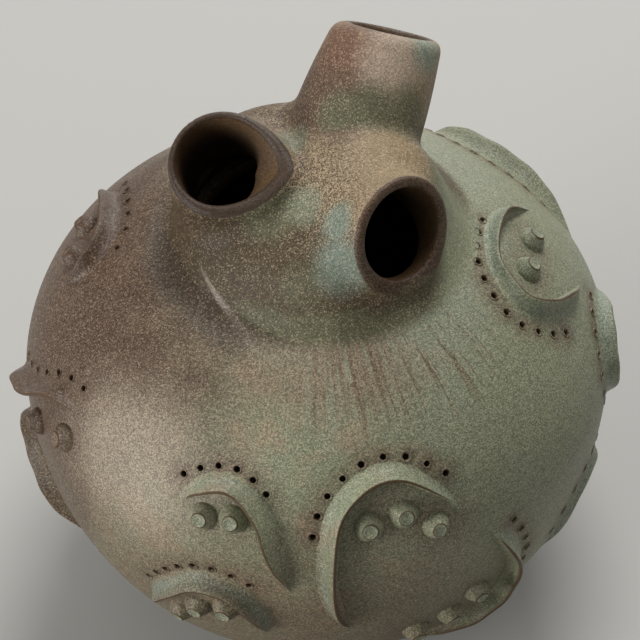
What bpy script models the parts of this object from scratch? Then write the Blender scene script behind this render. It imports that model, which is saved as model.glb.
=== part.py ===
"""Three-spout stoneware vessel: two thrown halves, a hub with three spouts, applied ridges and studs.

Sizes below are millimetres and degrees; the model itself is in metres with +Z up.
The foot stands on z = 0 and the axis of the pot is the Z axis.
Azimuth 0 is the front (-Y) and grows towards the right (+X).
"""
import math

import bmesh
import bpy
import numpy as np
from mathutils import Matrix, Vector

MM = 0.001
GAP = 0.3                    # slip joint between two pieces

# Body
BODY_RADIUS = 160.0
SHOULDER_RISE = 108.0        # equator to the closed top of the upper half
BOWL_DEPTH = 170.0           # equator to the pole the lower half would have
FOOT_RADIUS = 60.0
WALL = 8.0
FLOOR = 10.0
FOOT_BEVEL = 2.0
MOUTH_RADIUS = 60.0          # hole in the upper half, under the hub

# Hub
HUB_RADIUS = 76.0
HUB_RISE = 50.0
HUB_FOOT = 6.0               # how far the soft foot of the hub spreads
HUB_FOOT_RISE = 6.0          # height of that soft foot
HUB_SINK = 22.0              # how far the hub's form goes below its base before it is cut
HUB_WALL = 9.0

# Spouts
SPOUT_WALL = 5.0             # at the mouth
SEAT_WALL = 7.0              # at the hub
RIM_ROUND = 1.6
ROOT_SWELL = 3.0             # how far a spout's root swells below its seat
ROOT_DEPTH = 56.0            # seat to the closed end of the root, inside the hub
BORE_DEPTH = 34.0            # seat to the end of the bore, in the hub's hollow
CUT_PAST = 5.0               # how far a cutter runs past what it cuts
WELD = 0.01                  # points closer than this are one point after a cut

# Applied ridges
RIDGE_HEIGHT = 9.5
RIDGE_FOOT = 10.0            # slope on the outer side
RIDGE_LIP = 2.6
RIDGE_OVERHANG = 2.4
RIDGE_END = 0.24             # part of the length over which an end dies away

# Applied studs
STUD_HEIGHT = 9.0
STUD_BASE = 7.4              # radius
STUD_TOP = 4.8               # radius
STUD_BEVEL = 1.0

AROUND = 44                  # segments round the pot
SPOUT_AROUND = 24
RIDGE_STEPS = 15
STUD_AROUND = 12

EQUATOR = BOWL_DEPTH * math.sqrt(1.0 - (FOOT_RADIUS / BODY_RADIUS) ** 2)
HUB_BASE = EQUATOR + SHOULDER_RISE * math.sqrt(1.0 - (HUB_RADIUS / BODY_RADIUS) ** 2) - 2.0
HUB_EDGE = HUB_RADIUS + HUB_FOOT
TOP_LATITUDE = math.degrees(math.acos(HUB_EDGE / BODY_RADIUS))
FOOT_LATITUDE = math.degrees(math.acos(FOOT_RADIUS / BODY_RADIUS))

# Each spout: mouth centre (x, y, rise above the hub's base), axis and mouth facing as
# (azimuth, elevation), length from its seat, radius at the seat and at the mouth, pinch
# of the lip and the azimuth the pinch points to.
SPOUTS = {
    "spout_left": dict(mouth=(-48.0, -4.0, 53.0), axis=(-70.0, 68.0), facing=(-14.0, 60.0),
                       length=23.0, seat=32.0, lip=29.0, pinch=0.22, pinch_to=85.0),
    "spout_right": dict(mouth=(45.0, -47.5, 43.0), axis=(41.0, 29.0), facing=(39.0, 18.0),
                        length=14.0, seat=30.0, lip=27.5, pinch=0.0, pinch_to=0.0),
    "spout_back": dict(mouth=(41.0, 66.0, 78.0), axis=(150.0, 44.0), facing=(161.0, 50.0),
                       length=54.0, seat=35.0, lip=29.0, pinch=0.0, pinch_to=0.0),
}

# Each ridge: the crest as (azimuth, level) points, outer side on the right hand of the run;
# then the studs that sit inside it. Level 0 is the equator, 100 is the edge of the hub and
# -100 is the edge of the foot.
RIDGES = {
    "front_right": ([(27, 24), (24, 34), (17, 46), (10, 46), (4, 35), (2, 17), (2, -6), (5, -26)],
                    [(9, 27), (16, 30), (22, 20)]),
    "low_right": ([(20, -49), (29, -46), (37, -37), (40, -21), (37, -7), (33, 3)],
                  [(20, -37), (27, -32), (32, -24)]),
    "front_left": ([(-6, -6), (-9, 13), (-12, 31), (-18, 42), (-24, 39), (-28, 31)],
                   [(-17, 29), (-23, 27)]),
    "low_left": ([(-12, -31), (-12, -19), (-16, -9), (-23, -7), (-30, -15), (-37, -29)],
                 [(-19, -18), (-25, -21), (-30, -29)]),
    "left": ([(-55, 38), (-60, 38), (-65, 35), (-69, 28), (-74, 19), (-81, 10), (-89, 0)],
             [(-59, 22), (-70, 9)]),
    "left_shoulder": ([(-90, 55), (-89, 65), (-92, 73), (-99, 77), (-107, 74), (-115, 67), (-121, 58)],
                      [(-97, 60), (-107, 61)]),
    "right": ([(108, 68), (100, 85), (88, 91), (76, 88), (70, 76), (74, 64), (81, 56), (89, 47)],
              [(94, 74), (82, 76)]),
    "right_shoulder": ([(152, 44), (144, 56), (134, 56), (124, 48), (116, 39), (110, 32)],
                       [(142, 42), (132, 39)]),
    "right_side": ([(99, 20), (91, 27), (84, 24), (80, 14), (81, 0), (86, -12)],
                   [(91, 14), (90, 0)]),
    "back_right": ([(195, -36), (194, -15), (190, 4), (181, 14), (172, 7), (167, -8)],
                   [(184, -1), (176, -6)]),
    "back_low": ([(162, -57), (160, -43), (153, -34), (144, -37), (137, -49)],
                 [(153, -46), (146, -50)]),
    "back_left": ([(237, -42), (235, -19), (230, -1), (221, 8), (212, -1), (207, -16)],
                  [(224, -7), (216, -12)]),
    "low_back_left": ([(271, -57), (268, -43), (260, -35), (251, -38), (244, -50)],
                      [(261, -47), (253, -50)]),
    "low_back_right": ([(136, -32), (133, -18), (125, -10), (116, -13), (109, -25)],
                       [(126, -22), (118, -25)]),
    "low_side_right": ([(81, -37), (78, -24), (70, -18), (61, -22), (55, -35)],
                       [(71, -29), (64, -34)]),
    "low_side_left": ([(-66, -42), (-70, -33), (-74, -24), (-79, -17), (-86, -16), (-93, -22)],
                      [(-80, -30), (-87, -29)]),
}


def clear_scene():
    for obj in list(bpy.data.objects):
        bpy.data.objects.remove(obj, do_unlink=True)
    for mesh in list(bpy.data.meshes):
        bpy.data.meshes.remove(mesh)


def glaze(name, colour, roughness):
    mat = bpy.data.materials.new(name)
    mat.use_nodes = True
    shader = mat.node_tree.nodes["Principled BSDF"]
    shader.inputs["Base Color"].default_value = (*colour, 1.0)
    shader.inputs["Roughness"].default_value = roughness
    shader.inputs["Metallic"].default_value = 0.0
    return mat


def direction(azimuth, elevation):
    az, el = math.radians(azimuth), math.radians(elevation)
    return Vector((math.cos(el) * math.sin(az), -math.cos(el) * math.cos(az), math.sin(el)))


def body_point(azimuth, level):
    """A point on the outside of the body, and the normal there."""
    az = math.radians(azimuth)
    lat = math.radians(level / 100.0 * (TOP_LATITUDE if level >= 0.0 else FOOT_LATITUDE))
    rise = SHOULDER_RISE if level >= 0.0 else BOWL_DEPTH
    out = Vector((math.sin(az), -math.cos(az), 0.0))
    point = out * (BODY_RADIUS * math.cos(lat)) + Vector((0.0, 0.0, EQUATOR + rise * math.sin(lat)))
    normal = (out * (math.cos(lat) / BODY_RADIUS) + Vector((0.0, 0.0, math.sin(lat) / rise))).normalized()
    return point, normal


def onto_body(point, lift):
    """Move a point near the body to the given height above its outside."""
    for _ in range(3):
        rise = SHOULDER_RISE if point.z >= EQUATOR else BOWL_DEPTH
        q = Vector((point.x / BODY_RADIUS, point.y / BODY_RADIUS, (point.z - EQUATOR) / rise))
        grad = Vector((q.x / BODY_RADIUS, q.y / BODY_RADIUS, q.z / rise))
        size = q.length
        above = (size - 1.0) * size / grad.length
        point = point + grad.normalized() * (lift - above)
    return point


def new_object(name, bm, mat=None):
    bmesh.ops.recalc_face_normals(bm, faces=bm.faces)
    mesh = bpy.data.meshes.new(name)
    bm.to_mesh(mesh)
    bm.free()
    mesh.polygons.foreach_set("use_smooth", [True] * len(mesh.polygons))
    obj = bpy.data.objects.new(name, mesh)
    bpy.context.collection.objects.link(obj)
    if mat is not None:
        mesh.materials.append(mat)
    return obj


def lathe(name, profile, steps=AROUND, mat=None, place=None):
    """Spin a closed (radius, height) outline about its axis."""
    bm = bmesh.new()
    verts = [bm.verts.new((r * MM, 0.0, z * MM)) for r, z in profile]
    edges = [bm.edges.new((a, b)) for a, b in zip(verts, verts[1:] + verts[:1])]
    bmesh.ops.spin(bm, geom=verts + edges, axis=(0, 0, 1), cent=(0, 0, 0), steps=steps,
                   angle=2.0 * math.pi, use_merge=True)
    bmesh.ops.remove_doubles(bm, verts=bm.verts, dist=1e-7)
    if place is not None:
        bmesh.ops.transform(bm, matrix=place, verts=bm.verts)
    return new_object(name, bm, mat)


def along(origin, axis):
    """Matrix that turns +Z to axis and moves the start to origin (mm)."""
    turn = axis.to_track_quat("Z", "Y").to_matrix().to_4x4()
    return Matrix.Translation(origin * MM) @ turn


def combine(obj, tool, operation):
    """Apply one exact Boolean and take the tool away."""
    tool.hide_render = True
    tool.display_type = "WIRE"
    mod = obj.modifiers.new(operation, "BOOLEAN")
    mod.operation = operation
    mod.solver = "EXACT"
    mod.object = tool
    bpy.context.view_layer.update()
    done = bpy.data.meshes.new_from_object(obj.evaluated_get(bpy.context.evaluated_depsgraph_get()))
    obj.modifiers.clear()
    bm = bmesh.new()
    bm.from_mesh(done)
    bmesh.ops.remove_doubles(bm, verts=bm.verts, dist=WELD * MM)
    bmesh.ops.dissolve_degenerate(bm, edges=bm.edges, dist=WELD * MM)
    bmesh.ops.triangulate(bm, faces=bm.faces)
    bm.to_mesh(done)
    bm.free()
    obj.data = done
    bpy.data.objects.remove(tool, do_unlink=True)


def half_outline(rise, shrink, latitudes):
    r, h = BODY_RADIUS - shrink, rise - shrink
    return [(r * math.cos(math.radians(a)), EQUATOR + h * math.sin(math.radians(a))) for a in latitudes]


def build_lower_bowl(mat):
    bottom = -math.degrees(math.acos(FOOT_RADIUS / BODY_RADIUS))
    outer = half_outline(BOWL_DEPTH, 0.0, np.linspace(0.0, bottom, 9))
    outer[0] = (BODY_RADIUS, EQUATOR - GAP / 2)
    foot_r = outer[-1][0]
    lift = FOOT_BEVEL * BODY_RADIUS * math.sqrt(1 - (FOOT_RADIUS / BODY_RADIUS) ** 2) / FOOT_RADIUS
    outer[-1] = (foot_r + FOOT_BEVEL, min(lift, FOOT_BEVEL))
    floor_lat = -math.degrees(math.asin((EQUATOR - FLOOR) / (BOWL_DEPTH - WALL)))
    inner = half_outline(BOWL_DEPTH, WALL, np.linspace(floor_lat, 0.0, 8))
    inner[0] = (inner[0][0], FLOOR)
    inner[-1] = (BODY_RADIUS - WALL, EQUATOR - GAP / 2)
    profile = outer + [(foot_r, 0.0), (0.0, 0.0), (0.0, FLOOR)] + inner
    return lathe("lower_bowl", profile, mat=mat)


def build_upper_dome(mat):
    top = math.degrees(math.acos(MOUTH_RADIUS / BODY_RADIUS))
    outer = half_outline(SHOULDER_RISE, 0.0, np.linspace(0.0, top, 8))
    inner_top = math.degrees(math.acos(MOUTH_RADIUS / (BODY_RADIUS - WALL)))
    inner = half_outline(SHOULDER_RISE, WALL, np.linspace(inner_top, 0.0, 8))
    outer[0] = (BODY_RADIUS, EQUATOR + GAP / 2)
    inner[-1] = (BODY_RADIUS - WALL, EQUATOR + GAP / 2)
    return lathe("upper_dome", outer + inner, mat=mat)


def seat_of(spec):
    axis = direction(*spec["axis"])
    x, y, rise = spec["mouth"]
    mouth = Vector((x, y, HUB_BASE + rise))
    return mouth - axis * spec["length"], axis, mouth


def build_hub(mat):
    arc = [math.radians(a) for a in np.linspace(14.0, 90.0, 8)]
    dome = [(HUB_RADIUS * math.cos(a), HUB_BASE + HUB_RISE * math.sin(a)) for a in arc]
    dome[-1] = (0.0, HUB_BASE + HUB_RISE)
    low = HUB_BASE - HUB_SINK
    under = EQUATOR + SHOULDER_RISE * math.sqrt(1.0 - (HUB_EDGE / BODY_RADIUS) ** 2)
    outline = [(0.0, low), (HUB_EDGE, low), (HUB_EDGE, under + 0.2 * HUB_FOOT_RISE),
               (HUB_RADIUS + 0.25 * HUB_FOOT, under + HUB_FOOT_RISE)] + dome
    hub = lathe("spout_hub", outline, mat=mat)
    for spec in SPOUTS.values():
        seat, axis, _ = seat_of(spec)
        r = spec["seat"]
        neck = r - ROOT_SWELL / (0.36 * ROOT_DEPTH) * CUT_PAST
        root = [(0.0, CUT_PAST), (neck, CUT_PAST), (r + ROOT_SWELL, -0.36 * ROOT_DEPTH),
                (r + 0.4 * ROOT_SWELL, -0.58 * ROOT_DEPTH), (0.72 * r, -0.84 * ROOT_DEPTH),
                (0.36 * r, -0.96 * ROOT_DEPTH), (0.0, -ROOT_DEPTH)]
        combine(hub, lathe("root", root, SPOUT_AROUND, place=along(seat, axis)), "UNION")
    for spec in SPOUTS.values():
        seat, axis, _ = seat_of(spec)
        r = spec["seat"] + 2.0 * GAP
        wide = r + 1.2 * spec["pinch"] * spec["lip"]
        top = spec["length"] + HUB_RISE
        face = [(0.0, 0.0), (r, 0.0), (wide, 0.45 * spec["length"]), (wide, top), (0.0, top)]
        combine(hub, lathe("spot_face", face, SPOUT_AROUND, place=along(seat, axis)), "DIFFERENCE")
    body = half_outline(SHOULDER_RISE, -GAP, np.linspace(0.0, 90.0, 25))
    body[-1] = (0.0, EQUATOR + SHOULDER_RISE + GAP)
    combine(hub, lathe("body_form", body + [(0.0, EQUATOR)], 2 * AROUND), "DIFFERENCE")
    r, h = HUB_RADIUS - HUB_WALL, HUB_RISE - HUB_WALL
    hollow = [(r * math.cos(a), HUB_BASE + h * math.sin(a)) for a in np.linspace(0.0, math.pi / 2, 7)]
    hollow[-1] = (0.0, HUB_BASE + h)
    below = low - CUT_PAST
    combine(hub, lathe("hollow", [(0.0, below), (r, below)] + hollow), "DIFFERENCE")
    for spec in SPOUTS.values():
        seat, axis, _ = seat_of(spec)
        r = spec["seat"] - SEAT_WALL
        deep = -BORE_DEPTH
        bore = [(0.0, CUT_PAST), (r, CUT_PAST), (r, deep), (0.0, deep)]
        combine(hub, lathe("bore", bore, SPOUT_AROUND, place=along(seat, axis)), "DIFFERENCE")
    return hub


def build_spout(name, mat):
    spec = SPOUTS[name]
    seat, axis, mouth = seat_of(spec)
    facing = direction(*spec["facing"])
    pinch_to = direction(spec["pinch_to"], 0.0)
    start = seat + axis * GAP
    r0, r1 = spec["seat"], spec["lip"]

    def ring(t, radius, sink=0.0):
        normal = (axis * (1.0 - t) + facing * t).normalized()
        right = normal.cross(Vector((0.0, 0.0, 1.0))).normalized()
        up = right.cross(normal)
        centre = start.lerp(mouth, t) - normal * sink
        tip = (pinch_to - normal * pinch_to.dot(normal)).normalized()
        points = []
        for k in range(SPOUT_AROUND):
            a = 2.0 * math.pi * k / SPOUT_AROUND
            ray = right * math.cos(a) + up * math.sin(a)
            grow = 1.0 + spec["pinch"] * max(0.0, ray.dot(tip)) ** 4 * t * t
            points.append(centre + ray * radius * grow)
        return points

    stops = [0.0, 0.2, 0.45, 0.7]
    outer = [ring(t, r0 + (r1 - r0) * (1.0 - (1.0 - t) ** 2)) for t in stops]
    outer += [ring(1.0, r1, 2.0 * RIM_ROUND), ring(1.0, r1 - RIM_ROUND)]
    inner = [ring(1.0, r1 - SPOUT_WALL + RIM_ROUND), ring(1.0, r1 - SPOUT_WALL, 2.0 * RIM_ROUND)]
    for t in stops[::-1]:
        wall = SEAT_WALL + (SPOUT_WALL - SEAT_WALL) * t
        inner.append(ring(t, r0 + (r1 - r0) * (1.0 - (1.0 - t) ** 2) - wall))
    bm = bmesh.new()
    loops = [[bm.verts.new(p * MM) for p in r] for r in outer + inner]
    for one, two in zip(loops, loops[1:] + loops[:1]):
        for k in range(SPOUT_AROUND):
            j = (k + 1) % SPOUT_AROUND
            bm.faces.new((one[k], one[j], two[j], two[k]))
    return new_object(name, bm, mat)


def crest_run(points, steps):
    """Even steps along a smooth curve through the crest points, as (azimuth, level)."""
    p = np.array([points[0]] + list(points) + [points[-1]], float)
    curve = []
    for i in range(1, len(p) - 2):
        for t in np.linspace(0.0, 1.0, 12, endpoint=False):
            a, b, c, d = p[i - 1:i + 3]
            curve.append(0.5 * (2 * b + (c - a) * t + (2 * a - 5 * b + 4 * c - d) * t ** 2
                                + (3 * b - a - 3 * c + d) * t ** 3))
    curve = np.array(curve + [p[-1]])
    spots = np.array([body_point(*q)[0] for q in curve])
    run = np.concatenate([[0.0], np.cumsum(np.linalg.norm(np.diff(spots, axis=0), axis=1))])
    even = np.linspace(0.0, run[-1], steps + 1)
    return np.stack([np.interp(even, run, curve[:, 0]), np.interp(even, run, curve[:, 1])], -1)


def ridge_section(size):
    """Section of a ridge as (out, up): long slope outside, thin lip hanging over the inside."""
    w, h = RIDGE_FOOT * (0.35 + 0.65 * size), RIDGE_HEIGHT * size
    lip, over = min(RIDGE_LIP, 0.6 * h), RIDGE_OVERHANG * size
    return [(w, 0.0), (w, 0.5), (0.55 * w, 0.26 * h + 0.3), (0.18 * w, 0.78 * h), (-0.4 * over, h),
            (-over, h - 0.4 * lip), (-0.8 * over, h - lip), (-0.1 * w, 0.3 * h), (-0.12 * w, 0.0),
            (0.45 * w, 0.0)]


def build_ridge(name, points, mat):
    run = crest_run(points, RIDGE_STEPS)
    spots = [body_point(*q) for q in run]
    bm = bmesh.new()
    loops = []
    for i, (spot, normal) in enumerate(spots):
        before, after = spots[max(0, i - 1)][0], spots[min(RIDGE_STEPS, i + 1)][0]
        ahead = (after - before).normalized()
        out = ahead.cross(normal).normalized()
        t = i / RIDGE_STEPS
        end = min(1.0, t / RIDGE_END, (1.0 - t) / RIDGE_END)
        size = 0.16 + 0.84 * math.sin(0.5 * math.pi * end)
        loop = []
        for side, up in ridge_section(size):
            loop.append(bm.verts.new(onto_body(spot + out * side, up + GAP) * MM))
        loops.append(loop)
    count = len(loops[0])
    for one, two in zip(loops, loops[1:]):
        for k in range(count):
            j = (k + 1) % count
            bm.faces.new((one[k], one[j], two[j], two[k]))
    bm.faces.new(loops[0])
    bm.faces.new(loops[-1])
    return new_object(name, bm, mat)


def build_stud(name, azimuth, level, mat):
    spot, normal = body_point(azimuth, level)
    right = Vector((math.cos(math.radians(azimuth)), math.sin(math.radians(azimuth)), 0.0))
    up = normal.cross(right).normalized()
    bm = bmesh.new()
    rings = [(STUD_BASE, 0.0), (STUD_TOP + STUD_BEVEL * 0.5, STUD_HEIGHT - STUD_BEVEL),
             (STUD_TOP - STUD_BEVEL * 0.3, STUD_HEIGHT)]
    loops = []
    for radius, height in rings:
        loop = []
        for k in range(STUD_AROUND):
            a = 2.0 * math.pi * k / STUD_AROUND
            point = spot + (right * math.cos(a) + up * math.sin(a)) * radius
            point = onto_body(point, GAP) if height == 0.0 else point + normal * height
            loop.append(bm.verts.new(point * MM))
        loops.append(loop)
    for one, two in zip(loops, loops[1:]):
        for k in range(STUD_AROUND):
            j = (k + 1) % STUD_AROUND
            bm.faces.new((one[k], one[j], two[j], two[k]))
    base, top = bm.verts.new((spot + normal * GAP) * MM), bm.verts.new((spot + normal * STUD_HEIGHT) * MM)
    for k in range(STUD_AROUND):
        j = (k + 1) % STUD_AROUND
        bm.faces.new((loops[0][j], loops[0][k], base))
        bm.faces.new((loops[-1][k], loops[-1][j], top))
    return new_object(name, bm, mat)


def main():
    clear_scene()
    build_lower_bowl(glaze("bowl_glaze", (0.20, 0.17, 0.13), 0.5))
    build_upper_dome(glaze("shoulder_glaze", (0.20, 0.18, 0.14), 0.5))
    build_hub(glaze("hub_glaze", (0.21, 0.17, 0.12), 0.48))
    spout_mat = glaze("spout_glaze", (0.16, 0.12, 0.09), 0.42)
    for name in SPOUTS:
        build_spout(name, spout_mat)
    ridge_mat = glaze("ridge_glaze", (0.19, 0.18, 0.14), 0.48)
    stud_mat = glaze("stud_glaze", (0.24, 0.24, 0.18), 0.5)
    for name, (crest, studs) in RIDGES.items():
        build_ridge("ridge_" + name, crest, ridge_mat)
        for k, (azimuth, level) in enumerate(studs):
            build_stud("stud_%s_%d" % (name, k + 1), azimuth, level, stud_mat)


main()
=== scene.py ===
# %% [markdown]
# # A three-spout stoneware vessel
# The vessel is a round hand-built pot: two halves joined at the widest line, a mound on top that
# carries three open spouts, and strips and studs of clay stuck on the body. This script dresses
# the imported CAD model. Every piece is made in the same place as the CAD node that it stands for,
# so the first step is to load that frame.

import math

import bmesh
import bpy
import numpy as np
from mathutils import Matrix, Vector


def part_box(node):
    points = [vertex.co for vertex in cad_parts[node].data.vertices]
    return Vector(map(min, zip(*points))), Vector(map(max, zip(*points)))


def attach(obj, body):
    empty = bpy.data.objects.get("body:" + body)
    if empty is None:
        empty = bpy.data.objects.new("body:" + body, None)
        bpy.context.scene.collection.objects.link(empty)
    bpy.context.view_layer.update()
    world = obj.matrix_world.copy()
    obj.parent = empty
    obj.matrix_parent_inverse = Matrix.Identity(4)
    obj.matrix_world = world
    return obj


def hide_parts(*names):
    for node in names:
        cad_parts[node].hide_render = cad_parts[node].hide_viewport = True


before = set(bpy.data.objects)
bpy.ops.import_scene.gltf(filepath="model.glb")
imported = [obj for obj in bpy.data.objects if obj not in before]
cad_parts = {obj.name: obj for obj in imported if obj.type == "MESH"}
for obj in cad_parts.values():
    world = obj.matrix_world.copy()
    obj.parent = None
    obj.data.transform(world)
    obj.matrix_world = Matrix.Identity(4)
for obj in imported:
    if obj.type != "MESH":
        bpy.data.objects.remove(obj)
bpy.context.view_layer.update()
MM = 0.001
print("nodes in the frame:", len(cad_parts))

# %% [markdown]
# ## The form of the body
# The body is two half-ellipsoids that share one circle, the equator. The frame gives its radius
# and the height of the equator. A hand-built pot is never a true ellipsoid, so a slow wobble of
# about half a millimetre is part of the form. Everything that sits on the body asks the same
# function for its height above the clay, so that feet and edges meet the wall without a step.

# %% Body measures and height above the clay
low, high = (np.array(c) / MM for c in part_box("upper_dome"))
BODY_RADIUS = (high[0] - low[0]) / 2
JOINT_GAP = 0.3           # mm between the two halves in the CAD model
EQUATOR = low[2] - JOINT_GAP / 2
SHOULDER_RISE, BOWL_DEPTH = 108.0, 170.0
FOOT_RADIUS, WALL, FLOOR = 60.0, 8.0, 10.0
MOUTH_RADIUS = 60.0
HUB_EDGE = 82.0
GROOVE_RADIUS, GROOVE_DEPTH, GROOVE_ABOVE = 79.0, 3.4, 200.0    # the groove beside the hub
LEFT_SIDE = math.radians(-62)    # azimuth of the side with the groove
WOBBLE = 0.32                    # mm
TOP_LATITUDE = math.acos(HUB_EDGE / BODY_RADIUS)
FOOT_LATITUDE = math.acos(FOOT_RADIUS / BODY_RADIUS)


def length(v):
    return np.sqrt((v * v).sum(-1))


def left_front(p):
    """1 on the left front side of the axis and 0 on the far side, with a soft change between."""
    along = p[..., 0] * math.sin(LEFT_SIDE) - p[..., 1] * math.cos(LEFT_SIDE)
    return np.clip((along / np.maximum(np.hypot(p[..., 0], p[..., 1]), 1.0) - 0.35) / 0.5, 0, 1)


def wobble(p):
    """The slow unevenness of the wall, in mm, with the groove beside the hub."""
    x, y, z = p[..., 0], p[..., 1], p[..., 2]
    slow = np.sin(x / 33 + 1.0) * np.sin(y / 41 + z / 60) + 0.7 * np.sin(z / 24 + x / 55 + 2.0)
    groove = left_front(p) * np.exp(-((np.hypot(x, y) - GROOVE_RADIUS) / 8) ** 2) * (z > GROOVE_ABOVE)
    return WOBBLE * slow * np.clip((z - 6) / 20, 0, 1) - GROOVE_DEPTH * groove


def above_body(p):
    """Height of points above the outside of the body, in mm, and the outward normal."""
    rise = np.where(p[..., 2] >= EQUATOR, SHOULDER_RISE, BOWL_DEPTH)
    radii = np.stack([np.full_like(rise, BODY_RADIUS)] * 2 + [rise], -1)
    q = (p - np.array([0, 0, EQUATOR])) / radii
    grad = q / radii
    size, slope = length(q), length(grad)
    return (size - 1) * size / slope - wobble(p), grad / slope[..., None]


def onto_body(p, lift):
    """Move points along the normal until they stand lift mm above the clay."""
    for _ in range(5):
        height, normal = above_body(p)
        p = p + normal * (lift - height)[..., None]
    return p


def body_spot(azimuth, level):
    """Azimuth 0 is the front; level 0 is the equator, 100 the hub's edge, -100 the foot."""
    azimuth, level = np.radians(np.asarray(azimuth, float)), np.asarray(level, float)
    lat = level / 100 * np.where(level >= 0, TOP_LATITUDE, FOOT_LATITUDE)
    rise = np.where(level >= 0, SHOULDER_RISE, BOWL_DEPTH)
    r = BODY_RADIUS * np.cos(lat)
    spot = np.stack([r * np.sin(azimuth), -r * np.cos(azimuth), EQUATOR + rise * np.sin(lat)], -1)
    return onto_body(spot, np.zeros(lat.shape))


print("body radius %.1f mm, equator at %.1f mm" % (BODY_RADIUS, EQUATOR))


# %% [markdown]
# ## Turning numbers into pieces
# Most pieces are grids of points worked out with numpy: a run of rings, each joined to the next.
# Small helpers join the rings, turn the faces outward, shade them smooth and paint numbers on the
# points. The last one hangs a finished mesh on the frame: it rides on the root body and hides the
# nodes that it stands for.

# %% Mesh helpers
def mesh_from(name, verts, faces):
    mesh = bpy.data.meshes.new(name)
    mesh.from_pydata((np.asarray(verts) * MM).tolist(), [], [list(map(int, f)) for f in faces])
    mesh.update()
    return mesh


def add_object(name, mesh):
    obj = bpy.data.objects.new(name, mesh)
    bpy.context.collection.objects.link(obj)
    return obj


def ring_faces(rings, around, loop=False):
    """Quads between neighbouring rings of points that are stored one ring after another."""
    faces = []
    for i in range(rings if loop else rings - 1):
        a, b = i * around, ((i + 1) % rings) * around
        for k in range(around):
            j = (k + 1) % around
            faces.append((a + k, a + j, b + j, b + k))
    return faces


def face_out(obj):
    """Merge double points and turn all faces outward."""
    bm = bmesh.new()
    bm.from_mesh(obj.data)
    bmesh.ops.remove_doubles(bm, verts=bm.verts, dist=1e-7)
    bmesh.ops.recalc_face_normals(bm, faces=bm.faces)
    bm.to_mesh(obj.data)
    bm.free()


def smooth(obj, sharp_above=None):
    """Shade smooth, and keep edges sharp above an angle in degrees."""
    obj.data.polygons.foreach_set("use_smooth", [True] * len(obj.data.polygons))
    if sharp_above is not None:
        obj.data.set_sharp_from_angle(angle=math.radians(sharp_above))


def vertices(obj):
    """The points of a mesh, in mm."""
    co = np.empty(len(obj.data.vertices) * 3)
    obj.data.vertices.foreach_get("co", co)
    return co.reshape(-1, 3) / MM


def paint(obj, name, values):
    """Store one number per vertex for the glaze to read."""
    layer = obj.data.attributes.get(name) or obj.data.attributes.new(name, "FLOAT", "POINT")
    layer.data.foreach_set("value", np.asarray(values, np.float32))


def finish_piece(obj, nodes):
    """Hang a piece on the frame: it rides on the root body and hides the nodes that it stands for."""
    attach(obj, "root")
    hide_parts(*nodes)
    print("%-22s %6d faces, stands for %d node(s)" % (obj.name, len(obj.data.polygons), len(nodes)))


print("mesh helpers ready")

# %% [markdown]
# ## Where the ridges run
# Each ridge is a strip of clay laid on the body in a hook or a crescent. Its crest is a smooth
# curve through a few points, given as azimuth and level. The same run later places the row of
# punched dots, which follows the ridge a little way off on its outer side. The numbers after the
# crest say which part of the run the dots go with, and where the studs sit.

# %% Ridge runs
RIDGES = {
    "front_right": ([(27, 24), (24, 34), (17, 46), (10, 46), (4, 35), (2, 17), (2, -6), (5, -26)],
                    (0.10, 0.54), [(9, 27), (16, 30), (22, 20)]),
    "low_right": ([(20, -49), (29, -46), (37, -37), (40, -21), (37, -7), (33, 3)],
                  (0.5, 0.93), [(20, -37), (27, -32), (32, -24)]),
    "front_left": ([(-6, -6), (-9, 13), (-12, 31), (-18, 42), (-24, 39), (-28, 31)],
                   (0.58, 0.92), [(-17, 29), (-23, 27)]),
    "low_left": ([(-12, -31), (-12, -19), (-16, -9), (-23, -7), (-30, -15), (-37, -29)],
                 (0.37, 0.83), [(-19, -18), (-25, -21), (-30, -29)]),
    "left": ([(-55, 38), (-60, 38), (-65, 35), (-69, 28), (-74, 19), (-81, 10), (-89, 0)],
             (0.12, 0.82), [(-59, 22), (-70, 9)]),
    "left_shoulder": ([(-90, 55), (-89, 65), (-92, 73), (-99, 77), (-107, 74), (-115, 67), (-121, 58)],
                      (0.35, 0.95), [(-97, 60), (-107, 61)]),
    "right": ([(108, 68), (100, 85), (88, 91), (76, 88), (70, 76), (74, 64), (81, 56), (89, 47)],
              (0.27, 0.78), [(94, 74), (82, 76)]),
    "right_shoulder": ([(152, 44), (144, 56), (134, 56), (124, 48), (116, 39), (110, 32)],
                       (0.15, 0.8), [(142, 42), (132, 39)]),
    "right_side": ([(99, 20), (91, 27), (84, 24), (80, 14), (81, 0), (86, -12)],
                   (0.25, 0.75), [(91, 14), (90, 0)]),
    "back_right": ([(195, -36), (194, -15), (190, 4), (181, 14), (172, 7), (167, -8)],
                   (0.4, 0.95), [(184, -1), (176, -6)]),
    "back_low": ([(162, -57), (160, -43), (153, -34), (144, -37), (137, -49)],
                 (0.15, 0.85), [(153, -46), (146, -50)]),
    "back_left": ([(237, -42), (235, -19), (230, -1), (221, 8), (212, -1), (207, -16)],
                  (0.4, 0.95), [(224, -7), (216, -12)]),
    "low_back_left": ([(271, -57), (268, -43), (260, -35), (251, -38), (244, -50)],
                      (0.15, 0.85), [(261, -47), (253, -50)]),
    "low_back_right": ([(136, -32), (133, -18), (125, -10), (116, -13), (109, -25)],
                       (0.15, 0.85), [(126, -22), (118, -25)]),
    "low_side_right": ([(81, -37), (78, -24), (70, -18), (61, -22), (55, -35)],
                       (0.15, 0.85), [(71, -29), (64, -34)]),
    "low_side_left": ([(-66, -42), (-70, -33), (-74, -24), (-79, -17), (-86, -16), (-93, -22)],
                      (0.1, 0.65), [(-80, -30), (-87, -29)]),
}
RIDGE_STEP = 1.7          # mm between two sections of a ridge
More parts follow.
